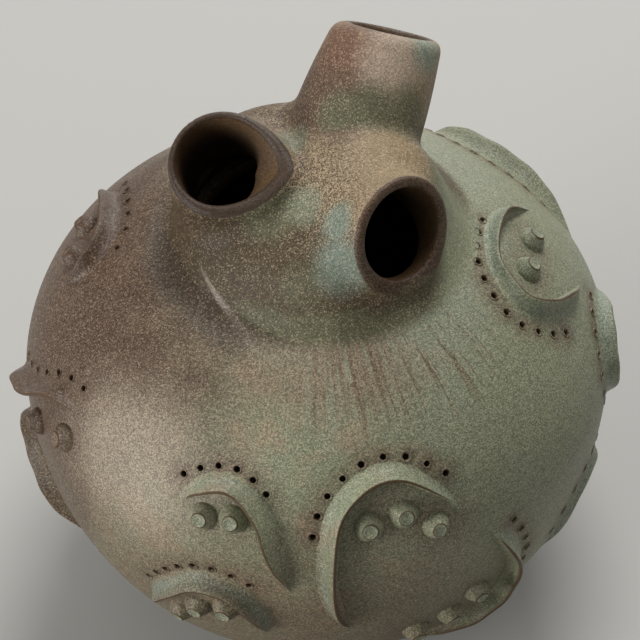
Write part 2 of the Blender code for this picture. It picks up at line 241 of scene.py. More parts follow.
CREST_STEPS = 16          # steps of the curve from one crest point to the next
# mm from dot to dot, and from the crest to the row at its start and its end
DOT_ROW = (12.6, 11.8, 11.8)
DOT_ROWS = {"front_right": (11.5, 10.8, 10.8), "front_left": (9.3, 10.8, 10.8),
            "low_left": (10.5, 10.6, 10.6), "right": (10.9, 8.2, 15.0)}


def smooth_curve(points, per):
    """A smooth curve through the points, with per steps from one point to the next."""
    p = np.array([points[0]] + list(points) + [points[-1]], float)
    curve = []
    for a, b, c, d in zip(p, p[1:], p[2:], p[3:]):
        for t in np.linspace(0, 1, per, endpoint=False):
            curve.append(0.5 * (2 * b + (c - a) * t + (2 * a - 5 * b + 4 * c - d) * t ** 2
                                + (3 * b - a - 3 * c + d) * t ** 3))
    return np.array(curve + [p[-1]])


def even_steps(spots, count):
    """Points at even distances along a line. count turns the line's length into their number."""
    run = np.concatenate([[0], np.cumsum(length(np.diff(spots, axis=0)))])
    even = np.linspace(0, run[-1], count(run[-1]))
    return np.stack([np.interp(even, run, spots[:, k]) for k in range(3)], -1)


def crest_run(points):
    """Even steps along a smooth curve through the crest points: places and outward sides."""
    spots = body_spot(*smooth_curve(points, CREST_STEPS).T)
    spots = even_steps(spots, lambda run: int(run / RIDGE_STEP) + 1)
    spots = onto_body(spots, np.zeros(len(spots)))
    side = np.cross(np.gradient(spots, axis=0), above_body(spots)[1])
    return spots, side / length(side)[:, None]


RUNS = {name: crest_run(crest) for name, (crest, _, _) in RIDGES.items()}


def dot_row(name):
    """The dots of one ridge: even steps along its run, moved out to the row's distance."""
    spots, side = RUNS[name]
    start, end = RIDGES[name][1]
    pitch, near_start, near_end = DOT_ROWS.get(name, DOT_ROW)
    n = len(spots)
    part = slice(int(start * n), max(int(end * n), 2))
    offset = np.linspace(near_start, near_end, len(spots[part]))
    row = onto_body(spots[part] + side[part] * offset[:, None], np.zeros(len(offset)))
    return even_steps(row, lambda run: max(2, int(round(run / pitch)) + 1))


DOTS = np.concatenate([dot_row(name) for name in RIDGES])
print("ridges: %d, punched dots: %d" % (len(RUNS), len(DOTS)))


# %% [markdown]
# ## One class for node trees
# Shader maths reads best as Python: `1 - mask * 0.4` instead of two Math nodes and three links.
# `Value` wraps a socket and its operators add Math nodes. `Graph.add` makes any other node from
# its type, its settings and the values of its sockets. Both serve Geometry Nodes as well.

# %% Node helpers
class Value:
    """A socket whose operators add Math nodes."""

    def __init__(self, graph, socket):
        self.graph, self.socket = graph, socket

    def _math(self, operation, first, second):
        return self.graph.add("ShaderNodeMath", {"operation": operation}, {0: first, 1: second})

    def __add__(self, other):
        return self._math("ADD", self, other)

    def __sub__(self, other):
        return self._math("SUBTRACT", self, other)

    def __rsub__(self, other):
        return self._math("SUBTRACT", other, self)

    def __mul__(self, other):
        return self._math("MULTIPLY", self, other)

    def __pow__(self, other):
        return self._math("POWER", self, other)

    def larger(self, other):
        return self._math("MAXIMUM", self, other)

    __radd__, __rmul__ = __add__, __mul__

    def out(self, name):
        return Value(self.graph, self.socket.node.outputs[name])


class Graph:
    """Adds nodes to one tree and links them."""

    def __init__(self, tree):
        self.tree = tree

    def add(self, kind, settings=None, values=None):
        node = self.tree.nodes.new(kind)
        for key, setting in (settings or {}).items():
            setattr(node, key, setting)
        for key, value in (values or {}).items():
            if isinstance(value, Value):
                self.tree.links.new(value.socket, node.inputs[key])
            else:
                node.inputs[key].default_value = value
        return Value(self, node.outputs[0]) if node.outputs else None

    def noise(self, place, scale, detail=3.0, rough=0.55):
        return self.add("ShaderNodeTexNoise", {"normalize": True},
                        {"Vector": place, "Scale": scale, "Detail": detail, "Roughness": rough})

    def step(self, value, low, high):
        return self.add("ShaderNodeMapRange", {"interpolation_type": "SMOOTHSTEP", "clamp": True},
                        {"Value": value, "From Min": low, "From Max": high})

    def blend(self, one, two, factor):
        one, two = [(*c, 1.0) if isinstance(c, tuple) else c for c in (one, two)]
        node = self.add("ShaderNodeMix", {"data_type": "RGBA"}, {0: factor, 6: one, 7: two})
        return Value(self, node.socket.node.outputs[2])

    def attribute(self, name):
        return self.add("ShaderNodeAttribute", {"attribute_name": name}).out("Fac")

    def random(self, low, high, seed):
        node = self.add("FunctionNodeRandomValue", {"data_type": "FLOAT"}, {2: low, 3: high, "Seed": seed})
        return Value(self, node.socket.node.outputs[1])


print("node helpers ready")

# %% [markdown]
# ## The glaze
# One stoneware glaze covers the whole vessel. Its colour reads Object coordinates, so it runs on
# across every joint. A few painted numbers say where the special places are: `thin` on lips and
# edges, `rim` at the mouths, `inside` in the hollows, `halo` round dots and studs, `groove` beside
# the hub, `pool` at the foot of a ridge and `top` on the face of a stud. First come the colours,
# and the places and noises that the next cells share.

# %% Colours and shared noises
MAUVE, UMBER, TAN = (0.055, 0.026, 0.017), (0.034, 0.020, 0.006), (0.245, 0.185, 0.120)
GREEN, PALE_GREEN, BLUE_GREEN = (0.186, 0.210, 0.134), (0.177, 0.212, 0.148), (0.142, 0.212, 0.177)
RUST, IRON_AND_SHADE, HOLLOW_SHADE = (0.055, 0.027, 0.010), (0.030, 0.017, 0.011), (0.010, 0.006, 0.003)
MOSS, OCHRE, HUB_TAN = (0.070, 0.080, 0.042), (0.300, 0.210, 0.110), (0.225, 0.162, 0.102)
RED_BROWN, PINK_HIGHLIGHT, PAINTED_SHEEN = (0.130, 0.058, 0.036), (0.420, 0.330, 0.260), (0.34, 0.28, 0.21)
RING_BROWN, RUN_BROWN, EDGE_HIGHLIGHT = (0.150, 0.104, 0.066), (0.075, 0.043, 0.024), (0.400, 0.330, 0.290)
LOW_BROWN, HALO_BROWN, WORN_LIP = (0.070, 0.048, 0.028), (0.072, 0.040, 0.026), (0.085, 0.048, 0.028)
PIT, CRYSTAL, FLECK = (0.020, 0.013, 0.008), (0.54, 0.46, 0.31), (0.60, 0.47, 0.33)
CLOUDS, DRIFTS, GRAINS, FLECKS, CELLS = 13.0, 42.0, 1100.0, 2100.0, 1700.0    # noise scales, per metre


class Clay:
    """The places, noises and painted numbers that every part of the glaze reads."""

    def __init__(self, g):
        self.g = g
        self.place = g.add("ShaderNodeTexCoord").out("Object")
        xyz = g.add("ShaderNodeSeparateXYZ", None, {0: self.place})
        self.x, self.y, self.z = (xyz.out(axis) for axis in "XYZ")
        self.radius = (self.x * self.x + self.y * self.y) ** 0.5
        self.turn = g.add("ShaderNodeMath", {"operation": "ARCTAN2"}, {0: self.x, 1: self.y * -1.0})
        self.foot_height = self.z + 0.4 * (0.08 - self.radius)
        self.cloud = g.noise(self.place, CLOUDS, 4.0)
        self.drift = g.noise(self.place, DRIFTS, 5.0)
        self.grain = g.noise(self.place, GRAINS, 3.0, 0.6)
        self.fleck = g.noise(self.place, FLECKS, 1.0, 0.6)
        cell = g.add("ShaderNodeTexVoronoi", None, {"Vector": self.place, "Scale": CELLS}).out("Color")
        self.cell = g.add("ShaderNodeSeparateColor", None, {0: cell}).out("Red")
        self.speck = g.step(0.72 * self.cell + 0.28 * self.grain, 0.12, 0.88)
        for name in ("halo", "thin", "pool", "rim", "inside", "top", "groove"):
            setattr(self, name, g.attribute(name))

    def patch(self, centre, size, soft=0.5):
        """1 near a place on the vessel, fading out along a cloudy edge."""
        away = self.g.add("ShaderNodeVectorMath", {"operation": "DISTANCE"}, {0: self.place, 1: centre})
        away = away.out("Value") + 0.6 * size * (self.drift - 0.5)
        return self.g.step(away, size * (1 + soft), size * (1 - soft))

    def patches(self, first, *others):
        """Several patches of one colour, each given as centre and size."""
        most = self.patch(*first)
        for other in others:
            most = most.larger(self.patch(*other))
        return most


print("glaze colours and noises ready")

# %% [markdown]
# ## Colour of the body
# From left to right, mauve brown turns to grey green along a slanting, cloudy border. Below the
# hub lies a warm brown ring, crossed by thin runs of glaze. A painted image could show this too,
# but masks made from position and noise need no file and no UV map.

# %% Body colour
def body_colour(g, c):
    """Colour of the body, and how far a place lies on the green side."""
    x, z, turn, radius, cloud, drift = c.x, c.z, c.turn, c.radius, c.cloud, c.drift
    border = x + 0.75 * (0.25 - z) + 0.10 * (cloud - 0.5) + 0.06 * (drift - 0.5)
    border = border - 0.09 * g.step(x, -0.115, -0.145)
    greener = g.step(border, -0.085, 0.0)
    left = g.blend(MAUVE, TAN, g.step(drift, 0.5, 0.8) * 0.10)
    right = g.blend(GREEN, PALE_GREEN, g.step(cloud + 0.9 * (z - 0.2) + 0.5 * x, 0.42, 0.72) * 0.8)
    tan = g.step(drift + 0.3 * (cloud - 0.5), 0.46, 0.66) * g.step(x, 0.10, 0.0)
    right = g.blend(right, TAN, tan * 0.85)
    colour = g.blend(left, right, greener)
    # a paler patch low on the left front is painted sheen
    colour = g.blend(colour, PAINTED_SHEEN, c.patch((-0.101, -0.112, 0.192), 0.042) * 0.6)
    low = g.step(z + 0.05 * (cloud - 0.5), 0.205, 0.12) * (1.0 - 0.8 * g.step(x, 0.03, 0.11))
    colour = g.blend(colour, LOW_BROWN, low * 0.8)

    # a warm brown ring below the hub's foot fades down into the green
    ring = (g.step(radius + 0.03 * (drift - 0.5), 0.128, 0.100) * g.step(turn, 0.70, 0.30)
            * g.step(c.y, -0.01, -0.05) * g.step(z, 0.19, 0.21))
    colour = g.blend(colour, RING_BROWN, ring * greener * 0.8)

    # thin brown and green runs of glaze cross it
    run_place = g.add("ShaderNodeCombineXYZ", None, {"X": turn * 5.0, "Y": radius * 1.6, "Z": z * 1.2})
    streak = g.noise(run_place, 7.0, 3.0, 0.7)
    run_zone = (g.step(radius, 0.080, 0.092) * g.step(radius, 0.140, 0.110) * g.step(z, 0.16, 0.19)
                * g.step(turn, -0.25, 0.1) * g.step(turn, 1.1, 0.7))
    colour = g.blend(colour, PALE_GREEN, run_zone * g.step(streak, 0.48, 0.40) * 0.9)
    colour = g.blend(colour, RUN_BROWN, run_zone * g.step(streak, 0.52, 0.60) * 0.7)
    return colour, greener


print("body colour ready")

# %% [markdown]
# ## Colour of the hub
# The hub and the spouts are brown and tan, with green pooled in a few places. No simple rule of
# height or slope puts these patches where the photograph shows them, so each one is given as
# a centre and a size, and noise makes its edge cloudy.

# %% Hub colour
def hub_colour(g, c):
    """Colour of the hub and the spouts."""
    # brown and tan glaze mottled by noise, with painted light towards the top and painted shade lower down
    mottle_and_top_light = 0.5 * c.drift + 0.5 * c.speck + 0.6 * (c.cloud - 0.5) + 24.0 * (c.z - 0.2985)
    hub = g.blend(UMBER, HUB_TAN, g.step(mottle_and_top_light, 0.25, 0.95))
    hub = g.blend(hub, OCHRE, c.patch((0.044, -0.012, 0.311), 0.020) * 0.6)
    hub = g.blend(hub, MAUVE, c.patch((0.009, 0.031, 0.328), 0.030, 0.35) * 0.9)
    hub = g.blend(hub, RED_BROWN, c.patch((0.022, 0.046, 0.345), 0.022) * 0.8)
    # a paler pink patch on the back spout is a painted highlight
    hub = g.blend(hub, PINK_HIGHLIGHT, c.patch((0.043, 0.032, 0.339), 0.018) * 0.6)
    back_foot = c.patches(((0.015, 0.013, 0.321), 0.012), ((0.031, 0.012, 0.321), 0.015),
                          ((0.050, 0.019, 0.316), 0.014)) * g.step(c.y, 0.003, 0.009)
    band = (g.step(c.foot_height + 0.03 * (c.drift - 0.5), 0.272, 0.258)
            * g.step(c.turn, -0.75, -0.45) * g.step(c.turn, 1.0, 0.6))
    green = back_foot.larger(band).larger(c.patch((-0.025, -0.029, 0.292), 0.014))
    green = green.larger(c.patch((-0.008, -0.065, 0.272), 0.012) * 0.7)
    hub = g.blend(hub, MOSS, green * 0.8)
    blue = c.patches(((0.012, -0.047, 0.301), 0.010), ((0.015, -0.061, 0.285), 0.015),
                     ((0.062, 0.045, 0.335), 0.011))
    hub = g.blend(hub, BLUE_GREEN, blue * 0.7)
    pale = c.patches(((-0.011, 0.009, 0.3065), 0.009), ((-0.004, -0.029, 0.2966), 0.010))
    hub = g.blend(hub, PALE_GREEN, pale * 0.6)
    return g.blend(hub, GREEN, g.step(c.x, 0.056, 0.070) * g.step(c.y, 0.03, 0.0) * 0.85)


print("hub colour ready")

# %% [markdown]
# ## The whole glaze
# The hub's colour goes over the body's, and the details over both: painted shade and darker glaze in
# the groove, painted shade in the crease at the hub's foot with a painted highlight on its edge,
# halos round the dots, green pooled at the ridges, fine grain all over, rust brown where the glaze
# runs thin over an edge, a darker iron brown on the mouths and painted shade deep in the hollows.
# The same noises drive roughness and bump.

# %% Stoneware glaze
def stoneware(name):
    mat = bpy.data.materials.new(name)
    mat.use_nodes = True
    g = Graph(mat.node_tree)
    c = Clay(g)
    colour, greener = body_colour(g, c)
    on_hub = g.step(c.foot_height, 0.244, 0.252) * g.step(c.radius, 0.105, 0.088)
    colour = g.blend(colour, hub_colour(g, c), on_hub * 0.92)

    # on the left, a painted highlight along the foot's edge and painted shade in the crease under it
    slant = c.foot_height + 0.03 * (c.turn + 0.5)
    left_foot = (g.step(c.turn, -1.15, -0.85) * g.step(c.turn, -0.30, -0.50)
                 * g.step(c.radius, 0.100, 0.090))
    crease_shade = g.step(slant, 0.232, 0.240) * g.step(slant, 0.2475, 0.2445)
    edge = g.step(slant, 0.2455, 0.2475) * g.step(slant, 0.2515, 0.2490)
    colour = g.blend(colour, IRON_AND_SHADE, crease_shade * left_foot * 0.55)
    colour = g.blend(colour, EDGE_HIGHLIGHT, edge * left_foot * 0.4)
    # painted shade and darker iron-brown glaze in the groove beside the hub
    colour = g.blend(colour, IRON_AND_SHADE, c.groove * 0.85)

    # ridges, studs and dots
    colour = g.blend(colour, HALO_BROWN, c.halo * g.step(c.drift, 0.2, 0.55) * 0.85)
    pooled = c.pool * greener * g.step(c.cloud + 0.4 * (c.drift - 0.5), 0.3, 0.6)
    colour = g.blend(colour, BLUE_GREEN, pooled * 0.55)
    colour = g.blend(colour, PALE_GREEN, c.top * greener * 0.85)

    # fine grain: dark pits, pale crystals and light flecks
    pitted = g.blend(colour, PIT, 0.62 - 0.16 * greener - 0.12 * on_hub)
    clear = g.blend(colour, CRYSTAL, 0.09 + 0.08 * greener - 0.05 * on_hub)
    colour = g.blend(pitted, clear, c.speck)
    colour = g.blend(colour, FLECK, g.step(c.cell, 0.82, 0.96) * (0.14 + 0.06 * on_hub))

    # rust on bare lips, iron brown on the mouths, and painted shade deep in the hollows
    colour = g.blend(colour, RUST, g.step(c.thin + 0.4 * (c.drift - 0.5), 0.3, 0.65) * 0.9)
    lip = g.blend(IRON_AND_SHADE, WORN_LIP, g.step(c.x, 0.0, 0.02) * g.step(c.speck, 0.2, 0.8))
    colour = g.blend(colour, lip, g.step(c.rim + 0.5 * (c.drift - 0.5), 0.3, 0.62) * 0.88)
    colour = g.blend(colour, RUST, g.step(c.inside, 0.05, 0.3) * 0.8)
    colour = g.blend(colour, HOLLOW_SHADE, g.step(c.inside, 0.36, 0.9) * 0.95)

    rough = 0.45 + 0.12 * on_hub - 0.16 * g.step(c.grain, 0.4, 0.7) - 0.20 * c.rim
    rough = rough + 0.05 * c.inside + 0.2 * c.groove - 0.12 * c.pool
    bump = g.add("ShaderNodeBump", None, {"Strength": 0.45, "Distance": 0.0010,
                                          "Height": c.grain * 0.55 + c.fleck * 0.55 + c.drift * 0.4})
    shader = mat.node_tree.nodes["Principled BSDF"]
    for socket, value in (("Base Color", colour), ("Roughness", rough), ("Normal", bump)):
        mat.node_tree.links.new(value.socket, shader.inputs[socket])
    shader.inputs["Specular IOR Level"].default_value = 0.2
    return mat


GLAZES = {slot: stoneware(slot) for slot in
          ("bowl_glaze", "shoulder_glaze", "hub_glaze", "spout_glaze", "ridge_glaze", "stud_glaze")}
print("glazes:", ", ".join(GLAZES))


# %% [markdown]
# ## The punched dots
# The rows of dots are holes pushed into the soft clay with a stick, which also raised a small burr
# round each one. A Geometry Nodes tree does both: it puts a blunt cone on every dot, cuts the cones
# out of the wall with one exact Boolean, and adds a low ring of clay round each hole.

# %% Punched-dot tree
DOT_RADIUS, DOT_DEPTH = 1.9, 4.2


def new_tree(name, inputs, output):
    """An empty Geometry Nodes tree. Its inputs are given as name and kind of socket."""
    tree = bpy.data.node_groups.new(name, "GeometryNodeTree")
    for label, kind in inputs:
        tree.interface.new_socket(label, in_out="INPUT", socket_type="NodeSocket" + kind)
    tree.interface.new_socket(output, in_out="OUTPUT", socket_type="NodeSocketGeometry")
    return tree


def clay_normal(g):
    return g.add("GeometryNodeInputNamedAttribute", {"data_type": "FLOAT_VECTOR"}, {"Name": "clay_normal"})


def punched_rows():
    tree = new_tree("punched_rows", [("Wall", "Geometry"), ("Dots", "Object"), ("Hole radius", "Float"),
                                     ("Hole depth", "Float"), ("Glaze", "Material")], "Wall")
    g = Graph(tree)
    given = g.add("NodeGroupInput")
    radius, depth = given.out("Hole radius"), given.out("Hole depth")
    dots = g.add("GeometryNodeObjectInfo", {"transform_space": "RELATIVE"},
                 {"Object": given.out("Dots")}).out("Geometry")
    turn = g.add("FunctionNodeAlignRotationToVector", {"axis": "Z"}, {"Vector": clay_normal(g)})
    cone = g.add("GeometryNodeMeshCone", None, {"Vertices": 14, "Radius Top": radius * 1.08,
                                                "Radius Bottom": radius * 0.7, "Depth": depth * 1.5})
    sunk = g.add("ShaderNodeCombineXYZ", None, {"Z": depth * -1.0})
    cone = g.add("GeometryNodeTransform", None, {"Geometry": cone, "Translation": sunk})
    holes = g.add("GeometryNodeInstanceOnPoints", None,
                  {"Points": dots, "Instance": cone, "Rotation": turn})
    holes = g.add("GeometryNodeRealizeInstances", None, {"Geometry": holes})
    cut = g.add("GeometryNodeMeshBoolean", {"operation": "DIFFERENCE", "solver": "EXACT"},
                {"Mesh 1": given.out("Wall"), "Mesh 2": holes})
    big = g.add("GeometryNodeCurvePrimitiveCircle", None, {"Resolution": 16, "Radius": radius * 1.22})
    small = g.add("GeometryNodeCurvePrimitiveCircle", None, {"Resolution": 6, "Radius": radius * 0.26})
    burr = g.add("GeometryNodeCurveToMesh", None, {"Curve": big, "Profile Curve": small})
    burrs = g.add("GeometryNodeInstanceOnPoints", None, {"Points": dots, "Instance": burr, "Rotation": turn,
                                                         "Scale": g.random(0.85, 1.15, 4)})
    burrs = g.add("GeometryNodeRealizeInstances", None, {"Geometry": burrs})
    both = g.add("GeometryNodeJoinGeometry")
    tree.links.new(burrs.socket, both.socket.node.inputs[0])
    tree.links.new(cut.socket, both.socket.node.inputs[0])
    glazed = g.add("GeometryNodeSetMaterial", None, {"Geometry": both, "Material": given.out("Glaze")})
    g.add("NodeGroupOutput", None, {0: glazed})
    return tree


PUNCH = punched_rows()


def bake_nodes(obj, tree, values):
    """Give obj the tree, set its inputs by identifier and keep the result as a plain mesh."""
    keys = {item.name: item.identifier for item in tree.interface.items_tree if item.in_out == "INPUT"}
    mod = obj.modifiers.new(tree.name, "NODES")
    mod.node_group = tree
    for key, value in values.items():
        mod[keys[key]] = value
    bpy.context.view_layer.update()
    graph = bpy.context.evaluated_depsgraph_get()
    done = bpy.data.meshes.new_from_object(obj.evaluated_get(graph), depsgraph=graph)
    obj.modifiers.remove(mod)
    obj.data = done
    return obj


def points_object(name, spots, **vectors):
    """A mesh of loose points that carry vectors, for a tree to put things on."""
    obj = add_object(name, mesh_from(name, spots, []))
    for key, values in vectors.items():
        layer = obj.data.attributes.new(key, "FLOAT_VECTOR", "POINT")
        layer.data.foreach_set("vector", np.asarray(values, np.float32).ravel())
    obj.hide_render = True
    return obj


print("punched-dot tree:", len(PUNCH.nodes), "nodes")

# %% [markdown]
# ## The two halves of the body
# The body is built as two bowls that meet at its widest line. Each is an outline spun round the
# axis: one line along the outside, another back along the inside, which gives it a real wall. A
# Screw modifier could spin it too. Here numpy does, because every outer ring is then laid on the
# uneven clay. The flat foot stays as it is drawn.

# %% Body halves
AROUND = 264
FOOT_EDGE = 1.0           # mm; rings below this belong to the flat foot


def shell(name, outer, inner, slot):
    """Spin an outer and an inner outline (radius, height) into one closed wall."""
    turn = np.linspace(0, 2 * math.pi, AROUND, endpoint=False)
    rings = []
    for k, (r, z) in enumerate(outer + inner):
        ring = np.stack([r * np.sin(turn), -r * np.cos(turn), np.full(AROUND, z)], -1)
        if k < len(outer) - 1 and z > FOOT_EDGE:
            ring = onto_body(ring, np.zeros(AROUND))
            if k == 0:
                ring[:, 2] = z
        rings.append(ring)
    verts = np.concatenate(rings)
    obj = add_object(name, mesh_from(name, verts, ring_faces(len(rings), AROUND, loop=True)))
    face_out(obj)
    near = DOTS[(DOTS[:, 2] >= EQUATOR) == (outer[len(outer) // 2][1] >= EQUATOR)]
    marks = points_object(name + "_dots", near, clay_normal=above_body(near)[1])
    bake_nodes(obj, PUNCH, {"Dots": marks, "Hole radius": DOT_RADIUS * MM,
                            "Hole depth": DOT_DEPTH * MM, "Glaze": GLAZES[slot]})
    bpy.data.objects.remove(marks)
    smooth(obj, sharp_above=38)
    return obj


def arc(radius, rise, latitudes):
    """Part of an ellipse round the equator, as radius and height."""
    return [(radius * math.cos(a), EQUATOR + rise * math.sin(a)) for a in latitudes]


inner_radius = BODY_RADIUS - WALL
top, inner_top = math.acos(MOUTH_RADIUS / BODY_RADIUS), math.acos(MOUTH_RADIUS / inner_radius)
dome = shell("upper_half", arc(BODY_RADIUS, SHOULDER_RISE, np.linspace(0.0, top, 58)),
             arc(inner_radius, SHOULDER_RISE - WALL, np.linspace(inner_top, 0.0, 9)), "shoulder_glaze")
bottom = arc(BODY_RADIUS, BOWL_DEPTH, np.linspace(0.0, -FOOT_LATITUDE * 0.985, 66))
bottom += [(FOOT_RADIUS + 0.8, 0.8), (FOOT_RADIUS - 0.6, 0.1), (FOOT_RADIUS - 3, 0.0), (0.01, 0.0)]
floor_at = -math.asin((EQUATOR - FLOOR) / (BOWL_DEPTH - WALL))
hollow = [(0.01, FLOOR)] + arc(inner_radius, BOWL_DEPTH - WALL, np.linspace(floor_at, 0.0, 11))
bowl = shell("lower_half", bottom, hollow, "bowl_glaze")
print("halves:", len(dome.data.polygons), len(bowl.data.polygons))


# %% [markdown]
# ## The hub and its spouts
# The mound and the three spouts flow into one another, which no lathe or Boolean gives. So the form
# is written as a distance field: the mound, two swellings on it and three tubes are melted together
# with a soft minimum, and the hollows are taken out with a soft maximum. The left spout's lip is
# pinched out to one side, as on a jug.

# %% The field of hub and spouts
HUB_RADIUS, HUB_RISE, HUB_WALL, HUB_SUNK = 76.0, 50.0, 9.0, 2.0
HUB_BASE = EQUATOR + SHOULDER_RISE * math.sqrt(1 - (HUB_RADIUS / BODY_RADIUS) ** 2) - HUB_SUNK
HUB_CENTRE, HUB_SIZE = np.array([0, 0, HUB_BASE]), np.array([HUB_RADIUS, HUB_RADIUS, HUB_RISE])
# how softly the foot runs out, the same on the left, and how far the mound lies lower there
HUB_MELT, LEFT_MELT, LEFT_DIP = 13.0, 4.0, 5.5
# the crown between the spouts, and the web from the left spout to the back one: centre and size
SWELLINGS = [(np.array([25, -2, HUB_BASE + 26]), np.array([42, 35, 40])),
             (np.array([-12, 32, HUB_BASE + 28]), np.array([45, 26, 26]))]
SWELLING_MELT, BORE_MELT, HOLLOW_EDGE = 12.0, 4.0, 2.4
PINCH_OUTSIDE, PINCH_INSIDE = 40.0, 13.0          # mm below the mouth at which the pinch ends
# Lengths in mm; axis, facing of the mouth and bore as azimuth and elevation. root and lip are radii
# that lie depth apart. melt rounds the joint with the hub, round the lip, belly swells the tube,
# taper narrows the bore on its way down, and pinch draws the lip out towards pinch_to. The dark lip
# goes out as far as burnt, the tube runs on by sunk below its root, and the piece is cut off at cut
# below the mouth.
SPOUT = dict(depth=45.0, melt=11.0, pinch=0.0, pinch_to=0.0, cut=6.0, belly=1.2, round=3.5, burnt=9.0,
             taper=0.04, sunk=10.0)
SPOUTS = {
    "left": dict(SPOUT, mouth=(-48.0, -4.0, 55.5), axis=(-42.0, 67.0), facing=(-14.0, 60.0),
                 bore=(-4.0, 62.0), root=36.0, lip=28.0, wall=4.2, pinch=8.5, pinch_to=77.0, taper=0.15),
    "right": dict(SPOUT, mouth=(45.0, -47.5, 42.0), axis=(41.0, 29.0), facing=(39.0, 18.0),
                  bore=(41.0, 29.0), root=29.0, lip=30.0, wall=6.0),
    "back": dict(SPOUT, mouth=(42.0, 66.0, 81.0), axis=(150.0, 44.0), facing=(157.0, 52.5), depth=70.0,
                 bore=(150.0, 44.0), root=35.0, lip=28.5, wall=8.5, melt=6.0, cut=36.0, belly=1.5,
                 round=7.0, burnt=0.0, sunk=25.0),
}


def unit(azimuth, elevation):
    """Direction of an azimuth and an elevation in degrees. Azimuth 0 is the front."""
    a, e = math.radians(azimuth), math.radians(elevation)
    return np.array([math.cos(e) * math.sin(a), -math.cos(e) * math.cos(a), math.sin(e)])


def soft_min(a, b, k):
    """The smaller of two distances, rounded off where they differ by less than k mm."""
    h = np.clip(0.5 + 0.5 * (b - a) / k, 0, 1)
    return b + (a - b) * h - k * h * (1 - h)


def soft_max(a, b, k):
    return -soft_min(-a, -b, k)


def ellipsoid(p, centre, radii):
    """About the distance to an ellipsoid, below 0 inside it."""
    q = p - centre
    size, slope = length(q / radii), length(q / (radii * radii))
    return size * (size - 1) / np.maximum(slope, 1e-9)


def mouth_of(s):
    return np.array(s["mouth"]) + HUB_CENTRE


def spout_fields(p, s):
    """Outside of the tube, its bore, the height over the plane of the mouth, and the distance
    outward from the middle of the lip."""
    axis, facing, mouth = unit(*s["axis"]), unit(*s["facing"]), mouth_of(s)
    q = p - (mouth - axis * s["depth"])
    t = q @ axis
    part = np.clip(t / s["depth"], -0.5, 1.3)
    radial = length(q - t[:, None] * axis)
    size = s["root"] + (s["lip"] - s["root"]) * part
    size = size + s["belly"] * np.sin(math.pi * np.clip(part, 0, 1))
    over, drawn = (p - mouth) @ facing, 0.0
    down = unit(*s["bore"])
    deep = (mouth - p) @ down
    hole = s["lip"] - s["wall"] - s["taper"] * np.maximum(deep, 0)
    if s["pinch"]:
        to = unit(s["pinch_to"], 0.0)
        to = to - facing * (to @ facing)
        flat = (p - mouth) - over[:, None] * facing
        away = np.arccos(np.clip(flat @ (to / length(to)) / np.maximum(length(flat), 1e-6), -1, 1))
        wide = math.acos(s["lip"] / (s["lip"] + s["pinch"]))
        tip = np.clip((1 / np.cos(np.clip(wide - away, 0, wide)) - 1) * s["lip"] / s["pinch"], 0, 1)
        pull = 0.3 * tip + 0.7 * np.maximum(np.cos(away), 0) ** 4
        drawn = s["pinch"] * pull
        near_lip = np.clip(1 + over / PINCH_INSIDE, 0, 1.2)
        size = size + drawn * np.clip(1 + over / PINCH_OUTSIDE, 0, 1)
        hole = hole + drawn * near_lip - 4 * pull * (1 - near_lip)
    tube = soft_max(soft_max(radial - size, over, s["round"]), -(t + s["sunk"]), 2.0)
    bore = soft_max(length(p - mouth + deep[:, None] * down) - hole, deep - s["depth"] - 4, 2.0)
    edge = length(p - mouth - over[:, None] * facing) - s["lip"] - drawn + s["wall"] / 2
    return tube, bore, over, edge


def vessel_top(p):
    """Signed distance to the hub with its spouts, melted on to the body, and to its hollows."""
    left = left_front(p)
    outside = soft_min(above_body(p)[0], ellipsoid(p, HUB_CENTRE, HUB_SIZE) + LEFT_DIP * left,
                       HUB_MELT + (LEFT_MELT - HUB_MELT) * left)
    for centre, size in SWELLINGS:
        outside = soft_min(outside, ellipsoid(p, centre, size), SWELLING_MELT)
    hollows = ellipsoid(p, HUB_CENTRE, HUB_SIZE - HUB_WALL)
    for s in SPOUTS.values():
        tube, bore, _, _ = spout_fields(p, s)
        outside = soft_min(outside, tube, s["melt"])
        hollows = soft_min(hollows, bore, BORE_MELT)
    return soft_max(outside, -hollows, HOLLOW_EDGE), hollows


def field_normal(p):
    """Outward normal of the field and its slope, from small steps to both sides."""
    step = 0.25
    grad = np.stack([vessel_top(p + e)[0] - vessel_top(p - e)[0] for e in np.eye(3) * step], -1)
    return grad / np.maximum(length(grad), 1e-9)[:, None], length(grad) / (2 * step)


print("field at the hub's crown: %.2f mm" % vessel_top(np.array([[0, 0, HUB_BASE + HUB_RISE]]))[0][0])


# %% [markdown]
# ## From field to mesh
# A surface net puts one point into every grid cell that the surface passes through, and joins the
# points of neighbouring cells with quads, which are then halved. Marching cubes would do it too,
# but makes many thin triangles. A few Newton steps pull every point on to the surface.

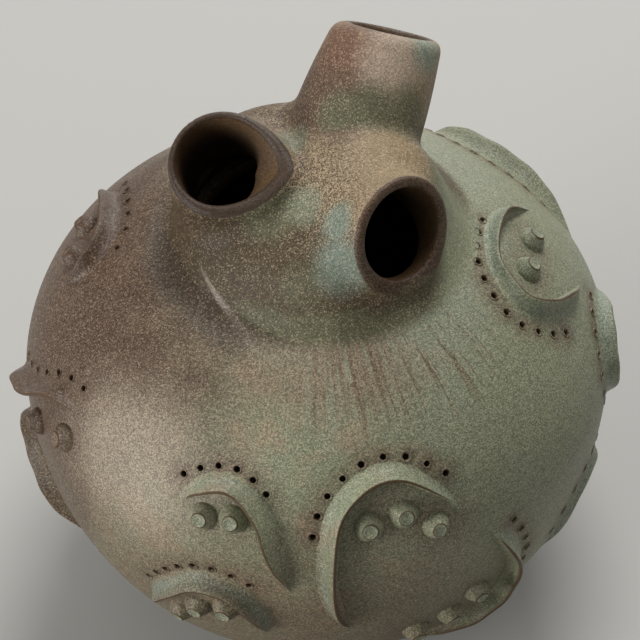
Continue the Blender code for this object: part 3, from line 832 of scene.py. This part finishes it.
# %% Surface net
def surface_net(low, high, cell):
    """Points and triangles of the field's surface inside a box, on a grid of cell mm."""
    axes = [np.arange(a, b, cell) for a, b in zip(low, high)]
    shape = tuple(len(a) for a in axes)
    grid = np.stack(np.meshgrid(*axes, indexing="ij"), -1).reshape(-1, 3)
    solid = np.concatenate([vessel_top(part)[0] < 0 for part in np.array_split(grid, 40)]).reshape(shape)
    count = sum(solid[i:shape[0] - 1 + i, j:shape[1] - 1 + j, k:shape[2] - 1 + k].astype(np.int8)
                for i in (0, 1) for j in (0, 1) for k in (0, 1))
    mixed = (count > 0) & (count < 8)
    number = np.full(mixed.shape, -1)
    number[mixed] = np.arange(mixed.sum())
    verts = np.array(low) + (np.argwhere(mixed) + 0.5) * cell
    quads = []
    for axis in range(3):
        b, c = (axis + 1) % 3, (axis + 2) % 3
        change = np.argwhere(np.diff(solid.astype(np.int8), axis=axis) != 0)
        inner = np.all([(change[:, k] > 0) & (change[:, k] < shape[k] - 1) for k in (b, c)], axis=0)
        change = change[inner]
        corner = []
        for db, dc in ((1, 1), (0, 1), (0, 0), (1, 0)):
            cell_at = change.copy()
            cell_at[:, b] -= db
            cell_at[:, c] -= dc
            corner.append(number[tuple(cell_at.T)])
        quad = np.stack(corner, -1)
        outward = solid[tuple(change.T)]
        quads.append(np.where(outward[:, None], quad, quad[:, ::-1]))
    quads = np.concatenate(quads)
    for _ in range(6):
        normal, slope = field_normal(verts)
        verts = verts - normal * np.clip(vessel_top(verts)[0] / np.maximum(slope, 0.4), -1, 1)[:, None]
    return verts, np.concatenate([quads[:, [0, 1, 2]], quads[:, [0, 2, 3]]])


NET_LOW, NET_HIGH = (-98.0, -98.0, 238.0), (98.0, 108.0, 356.0)    # a box round hub and spouts
NET_CELL = 1.7
top_verts, top_tris = surface_net(NET_LOW, NET_HIGH, NET_CELL)
print("surface net: %d points, %d triangles" % (len(top_verts), len(top_tris)))


# %% [markdown]
# ## Cutting the net into hub and spouts
# The CAD model has the hub and the spouts as four pieces, so the net is cut along the foot and
# where the spouts begin, and every cut is filled. The skin keeps the field's normals, so that the
# shading runs on across the cuts.

# %% Hub and spout pieces
def split(verts, tris, value):
    """Cut a triangle mesh where value changes sign. Returns the points, the triangles above and
    below, and the edges along the cut."""
    verts, side = list(verts), value > 0
    code = side[tris].sum(1)
    above, below, edges, seen = [tris[code == 3]], [tris[code == 0]], [], {}

    def crossing(a, b):
        key = (min(a, b), max(a, b))
        if key not in seen:
            t = value[a] / (value[a] - value[b])
            seen[key] = len(verts)
            verts.append(verts[a] + (verts[b] - verts[a]) * t)
        return seen[key]

    for tri in tris[(code == 1) | (code == 2)]:
        lone = side[tri].sum() == 1
        k = next(i for i in range(3) if side[tri[i]] == lone)
        a, b, c = tri[k], tri[(k + 1) % 3], tri[(k + 2) % 3]
        ab, ac = crossing(a, b), crossing(a, c)
        tip, rest = [(a, ab, ac)], [(ab, b, c), (ab, c, ac)]
        (above if lone else below).append(np.array(tip))
        (below if lone else above).append(np.array(rest))
        edges.append((ab, ac))
    return np.array(verts), np.concatenate(above), np.concatenate(below), edges


def closed_piece(name, verts, tris, cuts):
    """A closed mesh from a cut net: each cut is filled flat, the skin keeps the field's normals."""
    bm = bmesh.new()
    used = np.unique(tris)
    lookup = {int(i): bm.verts.new(verts[i] * MM) for i in used}
    for tri in tris:
        if len(set(tri)) == 3:
            bm.faces.new([lookup[int(i)] for i in tri])
    skin = len(bm.faces)
    for edges in cuts:
        loop = [bm.edges.get((lookup[a], lookup[b])) for a, b in edges if a in lookup and b in lookup]
        bmesh.ops.triangle_fill(bm, use_beauty=True, edges=[e for e in loop if e is not None])
    bm.faces.index_update()
    for k, f in enumerate(bm.faces):
        f.material_index = 0 if k < skin else 1
    bmesh.ops.remove_doubles(bm, verts=bm.verts, dist=1e-7)
    bmesh.ops.recalc_face_normals(bm, faces=bm.faces)
    mesh = bpy.data.meshes.new(name)
    bm.to_mesh(mesh)
    open_edges = sum(1 for e in bm.edges if len(e.link_faces) != 2)
    bm.free()
    obj = add_object(name, mesh)
    smooth(obj)
    fill = np.empty(len(mesh.polygons), np.int32)
    mesh.polygons.foreach_get("material_index", fill)
    mesh.polygons.foreach_set("material_index", np.zeros(len(fill), np.int32))
    at = np.empty(len(mesh.loops), np.int32)
    mesh.loops.foreach_get("vertex_index", at)
    flat = np.empty(len(fill) * 3)
    mesh.polygons.foreach_get("normal", flat)
    spot = vertices(obj)
    skin_normal = field_normal(spot)[0][at]
    loops = np.repeat(np.arange(len(fill)), 3)
    normals = np.where((fill == 1)[loops, None], flat.reshape(-1, 3)[loops], skin_normal)
    mesh.normals_split_custom_set(normals.tolist())
    print("%-12s %6d triangles, open edges %d" % (name, len(fill), open_edges))
    return obj


FEATHER = 0.1             # mm of clay at the soft edge of the hub's foot
SPOUT_REACH = 4.5         # mm outside its tube that still belong to a spout
points, skin, _, foot_edges = split(top_verts, top_tris, above_body(top_verts)[0] - FEATHER)
hub_cuts, spout_parts = [foot_edges], {}
for name, s in SPOUTS.items():
    plane = (points - mouth_of(s)) @ unit(*s["facing"]) + s["cut"]
    reach = SPOUT_REACH - spout_fields(points, s)[0]
    points, part, skin, edges = split(points, skin, np.minimum(plane, reach))
    hub_cuts.append(edges)
    spout_parts[name] = (part, edges)

hub = closed_piece("hub", points, skin, hub_cuts)
spouts = {name: closed_piece("spout_" + name, points, part, [edges])
          for name, (part, edges) in spout_parts.items()}

# %% [markdown]
# ## The ridges
# A ridge has a long slope on its outer side that runs out into the body, a thin lip along its
# crest, and a hollow under the lip on its inner side. So a section is drawn as a short smooth
# outline and swept along the run. It shrinks to nothing at the ends, and a slow wave in height and
# lean keeps it from looking extruded. The strip is sunk slightly, so that no gap shows below it.

# %% Ridge sections
RIDGE_HEIGHT, RIDGE_FOOT, RIDGE_SUNK = 9.4, 8.6, 1.2
RIDGE_LOWER = {"low_side_right": 0.4, "right_side": 0.8}    # ridges that stand less high
LONG_ENDS = ("right_shoulder", "right_side")                # ridges that run out slowly
# outward distance and height, as shares of the foot and of the height
SECTION = smooth_curve([(1.02, -0.12), (1.0, -0.03), (0.78, 0.05), (0.54, 0.2), (0.33, 0.48),
                        (0.16, 0.82), (0.06, 0.96), (-0.03, 1.0), (-0.12, 0.97), (-0.16, 0.88),
                        (-0.12, 0.68), (-0.08, 0.42), (-0.13, 0.18), (-0.3, 0.03), (-0.42, -0.03),
                        (-0.44, -0.12)], 4)


def ridge(name, seed):
    """Sweep the section along a run. The seed shifts the waves in height, width and lean."""
    spots, side = RUNS[name]
    n, m = len(spots), len(SECTION)
    t = np.linspace(0, 1, n)
    fade = 0.4 if name in LONG_ENDS else 0.2
    end = np.clip(np.minimum(t / 0.3, (1 - t) / fade), 0, 1)
    size = np.sin(0.5 * math.pi * end) ** 1.2
    if name == "right":      # this one is slimmer near its middle
        size = size * (1 - 0.45 * np.exp(-((t - 0.42) / 0.18) ** 2))
    wave = 1 + 0.04 * np.sin(t * 13 + seed) + 0.025 * np.sin(t * 37 + 2 * seed)
    high = RIDGE_HEIGHT * RIDGE_LOWER.get(name, 1.0) * size * wave + 0.02
    wide = RIDGE_FOOT * (0.25 + 0.75 * size) * (1 + 0.04 * np.sin(t * 17 + 3 * seed))
    lean = 0.4 * size * np.sin(t * 15 + seed * 1.7)
    across, up = SECTION[:, 0], SECTION[:, 1]
    out = across[None] * wide[:, None] + lean[:, None] * np.clip(up, 0, 1)[None]
    verts = spots[:, None] + side[:, None] * out[..., None]
    lift = np.where(up < -0.06, -RIDGE_SUNK, up * high[:, None])
    verts = onto_body(verts, lift).reshape(-1, 3)
    faces = ring_faces(n, m) + [tuple(range(m)), tuple(range((n - 1) * m, n * m))]
    obj = add_object("ridge_" + name, mesh_from(name, verts, faces))
    full = np.clip(size * 1.6, 0, 1)[:, None]
    lip = np.exp(-((across + 0.08) / 0.11) ** 2) * np.clip((up - 0.6) / 0.3, 0, 1)
    slope = np.exp(-((across - 0.42) / 0.26) ** 2) * (up > 0)
    paint(obj, "thin", (lip * full).ravel())
    paint(obj, "pool", (slope * full).ravel())
    face_out(obj)
    smooth(obj, sharp_above=60)
    obj.data.materials.append(GLAZES["ridge_glaze"])
    return obj


ridges = {name: ridge(name, 1.0 + k) for k, name in enumerate(RIDGES)}
print("ridges made:", len(ridges))

# %% [markdown]
# ## The studs
# Inside every ridge sit two or three short studs, like ends cut from a coil of clay. They are all
# one shape, so a Geometry Nodes tree sets that shape on every spot, turns it to stand on the
# clay, and varies its turn and size a little with a fixed seed. Inside the two lower ridges they
# are pressed deeper.

# %% Stud shape and tree
STUD_HEIGHT, STUD_BASE, STUD_TOP, STUD_AROUND = 6.4, 7.6, 4.0, 22
STUD_SINK = {"low_side_right": 3.0, "right_side": 1.8}    # mm that a stud is pressed in


def stud_shape():
    """One stud, spun from an outline (radius, height) that starts at the middle of its face."""
    outline = smooth_curve([(0.02, STUD_HEIGHT - 0.5), (STUD_TOP * 0.55, STUD_HEIGHT - 0.35),
                            (STUD_TOP * 0.86, STUD_HEIGHT), (STUD_TOP + 0.25, STUD_HEIGHT - 0.55),
                            (STUD_BASE * 0.72, STUD_HEIGHT * 0.66), (STUD_BASE * 0.93, STUD_HEIGHT * 0.3),
                            (STUD_BASE, 0.4), (STUD_BASE * 1.03, -0.4), (STUD_BASE, -1.0), (0.02, -1.0)], 3)
    turn = np.linspace(0, 2 * math.pi, STUD_AROUND, endpoint=False)
    rings = []
    for r, z in outline:
        r = r * (1 + 0.03 * np.sin(3 * turn + 1) + 0.02 * np.sin(5 * turn))
        tilt = 0.25 * np.sin(turn + 0.6) * r / STUD_TOP * np.clip(z / STUD_HEIGHT, 0, 1)
        rings.append(np.stack([r * np.cos(turn), r * np.sin(turn), z + tilt], -1))
    verts = np.concatenate(rings)
    faces = ring_faces(len(rings), STUD_AROUND, loop=True)
    obj = add_object("stud_shape", mesh_from("stud_shape", verts, faces))
    height = verts[:, 2] / STUD_HEIGHT
    around = length(verts[:, :2]) / STUD_TOP
    edge = np.exp(-((around - 1.0) / 0.16) ** 2) * np.clip((height - 0.6) / 0.3, 0, 1)
    paint(obj, "thin", edge * 0.7)
    paint(obj, "top", np.clip((height - 0.86) / 0.08, 0, 1))
    face_out(obj)
    smooth(obj, sharp_above=50)
    obj.hide_render = True
    return obj


def studs_on_points():
    tree = new_tree("studs_on_points", [("Spots", "Geometry"), ("Stud", "Object"), ("Size spread", "Float"),
                                        ("Glaze", "Material")], "Studs")
    g = Graph(tree)
    given = g.add("NodeGroupInput")
    stud = g.add("GeometryNodeObjectInfo", {"transform_space": "ORIGINAL"},
                 {"Object": given.out("Stud")}).out("Geometry")
    first = g.add("FunctionNodeAxisAngleToRotation", None,
                  {"Axis": (0, 0, 1), "Angle": g.random(0.0, 6.283, 11)})
    turn = g.add("FunctionNodeAlignRotationToVector", {"axis": "Z"},
                 {"Rotation": first, "Vector": clay_normal(g)})
    spread = given.out("Size spread")
    size = g.random(1.0 - spread, 1.0 + spread, 7)
    made = g.add("GeometryNodeInstanceOnPoints", None, {"Points": given.out("Spots"), "Instance": stud,
                                                        "Rotation": turn, "Scale": size})
    made = g.add("GeometryNodeRealizeInstances", None, {"Geometry": made})
    made = g.add("GeometryNodeSetMaterial", None, {"Geometry": made, "Material": given.out("Glaze")})
    g.add("NodeGroupOutput", None, {0: made})
    return tree


STUDS = studs_on_points()
shape = stud_shape()
studs = {}
for name, (_, _, spots) in RIDGES.items():
    at = body_spot(*np.array(spots, float).T)
    normal = above_body(at)[1]
    group = points_object("studs_" + name, at - STUD_SINK.get(name, 0.0) * normal, clay_normal=normal)
    group.hide_render = False
    studs[name] = bake_nodes(group, STUDS, {"Stud": shape, "Size spread": 0.05,
                                            "Glaze": GLAZES["stud_glaze"]})
    face_out(studs[name])
    smooth(studs[name], sharp_above=50)
bpy.data.objects.remove(shape)
print("stud groups:", len(studs))

# %% [markdown]
# ## Painting the pieces
# The glaze needs its painted numbers, worked out from where each point lies: how near to a dot or
# a stud, how near to the lip of a mouth, and how deep inside. Ridges and studs have theirs already.

# %% Paint
STUD_SPOTS = np.concatenate([body_spot(*np.array(spots, float).T) for _, _, spots in RIDGES.values()])
DOT_HALO, STUD_HALO = 7.5, 15.0
DARK_DEPTH, SPOUT_NEAR = 32.0, 60.0       # mm down to full darkness; mm round a mouth that are its own


def nearest(p, others):
    """Distance from every point to the nearest of the others."""
    best = np.full(len(p), 1e9)
    for part in np.array_split(others, max(1, len(others) // 40)):
        d = ((p[:, None] - part[None]) ** 2).sum(-1).min(1)
        best = np.minimum(best, d)
    return np.sqrt(best)


def below_mouth(p, s):
    """0 at the plane of a mouth, 1 where its bore is dark, and more far away from it."""
    return np.clip(-spout_fields(p, s)[2] / DARK_DEPTH, 0, 1) + (length(p - mouth_of(s)) > SPOUT_NEAR)


for obj in (dome, bowl):
    p = vertices(obj)
    paint(obj, "halo", np.maximum(np.exp(-(nearest(p, DOTS) / DOT_HALO) ** 2),
                                  0.9 * np.exp(-(nearest(p, STUD_SPOTS) / STUD_HALO) ** 2)))
    in_groove = np.exp(-((np.hypot(p[:, 0], p[:, 1]) - GROOVE_RADIUS - 1) / 9) ** 2)
    paint(obj, "groove", left_front(p) * in_groove * (p[:, 2] > GROOVE_ABOVE))
    # rust brown and painted shade at the ends of the punched holes and on the wall's inner side, not the
    # foot
    paint(obj, "inside", np.clip((-above_body(p)[0] - 2.6) / 1.2, 0, 1) * (p[:, 2] > 3))
for obj in [hub] + list(spouts.values()):
    p = vertices(obj)
    rim = np.zeros(len(p))
    for s in SPOUTS.values():
        _, _, over, edge = spout_fields(p, s)
        dark_lip = np.clip(1.2 - np.abs(over + 0.3) / 2.8, 0, 1) * np.clip(2.0 - np.abs(edge) / 3.2, 0, 1)
        rim = np.maximum(rim, dark_lip * np.clip((s["burnt"] - edge) / 2, 0, 1))
    paint(obj, "rim", rim)
    # painted shade that deepens down the bores
    hollow_depth = np.min([below_mouth(p, s) for s in SPOUTS.values()], 0)
    in_bore = np.clip(1 - vessel_top(p)[1] / 2.0, 0, 1)
    paint(obj, "inside", in_bore * (0.35 + 0.65 * np.clip(hollow_depth, 0, 1)) * np.clip(1 - rim, 0, 1))
    obj.data.materials.append(GLAZES["hub_glaze" if obj is hub else "spout_glaze"])
print("painted: halo, groove, rim, inside")

# %% [markdown]
# ## Hanging the pieces
# Every piece rides on the root body and takes the place of its CAD nodes. The studs of one ridge
# are one piece here, so that piece stands for two or three nodes.

# %% Hang the pieces
finish_piece(dome, ["upper_dome"])
finish_piece(bowl, ["lower_bowl"])
finish_piece(hub, ["spout_hub"])
for name, obj in spouts.items():
    finish_piece(obj, ["spout_" + name])
for name, obj in ridges.items():
    finish_piece(obj, ["ridge_" + name])
for name, obj in studs.items():
    nodes = ["stud_%s_%d" % (name, k + 1) for k in range(len(RIDGES[name][2]))]
    finish_piece(obj, nodes)

# %% [markdown]
# ## Floor and light
# The floor is plain and pale. A large soft lamp above and behind the vessel gives the sheen on the
# shoulder, a second one from the left front lights the side that faces us, a weaker third one
# shines from far behind, and the sky fills the shadows.

# %% Floor and light
FLOOR_HALF = 3000
corners = [(x * FLOOR_HALF, y * FLOOR_HALF, 0) for x, y in ((-1, -1), (1, -1), (1, 1), (-1, 1))]
floor = add_object("floor", mesh_from("floor", corners, [(0, 1, 2, 3)]))
paper = bpy.data.materials.new("pale_paper")
paper.use_nodes = True
paper_shader = paper.node_tree.nodes["Principled BSDF"]
paper_shader.inputs["Base Color"].default_value = (0.342, 0.337, 0.321, 1)
paper_shader.inputs["Roughness"].default_value = 0.9
floor.data.materials.append(paper)


def softbox(name, place, aim, size, power):
    lamp = bpy.data.lights.new(name, "AREA")
    lamp.shape, lamp.size, lamp.energy = "DISK", size, power
    obj = bpy.data.objects.new(name, lamp)
    obj.location = place
    obj.rotation_euler = (Vector(aim) - Vector(place)).to_track_quat("-Z", "Y").to_euler()
    bpy.context.collection.objects.link(obj)
    return obj


softbox("lamp_above", (0.25, 0.9, 2.2), (0, 0, 0.2), 1.2, 50)
softbox("lamp_left", (-2.0, -1.1, 0.55), (0, 0, 0.15), 1.2, 58)
softbox("lamp_back", (0.5, 2.6, 1.1), (0, 0, 0.15), 1.8, 24)
world = bpy.data.worlds.new("room")
world.use_nodes = True
sky = world.node_tree.nodes["Background"]
sky.inputs["Color"].default_value = (1.0, 0.99, 0.96, 1)
sky.inputs["Strength"].default_value = 0.42
bpy.context.scene.world = world
bpy.context.scene.view_settings.view_transform = "Standard"
print("floor and three lamps")

# %% [markdown]
# ## Camera
# The camera stands about where the photograph was taken: far off with a long lens, looking down, and
# rolled by a little more than a degree. A small shift of the lens sets the vessel in the frame.

# %% Camera
TILT, ROLL, FAR = math.radians(46.0), math.radians(1.3), 1.588
right, up = Vector((1, 0, 0)), Vector((0, math.sin(TILT), math.cos(TILT)))
back = Vector((0, -math.cos(TILT), math.sin(TILT)))
cam_x = right * math.cos(ROLL) - up * math.sin(ROLL)
cam_y = right * math.sin(ROLL) + up * math.cos(ROLL)
lens = bpy.data.cameras.new("camera")
lens.sensor_width, lens.lens = 36.0, 162.0
lens.shift_x, lens.shift_y = 0.004, 0.053
lens.clip_end = 50.0
camera = bpy.data.objects.new("camera", lens)
eye = Vector((0, 0, EQUATOR * MM)) + back * FAR
camera.matrix_world = Matrix.Translation(eye) @ Matrix((cam_x, cam_y, back)).transposed().to_4x4()
bpy.context.collection.objects.link(camera)
bpy.context.scene.camera = camera
print("camera at", [round(v, 3) for v in eye])
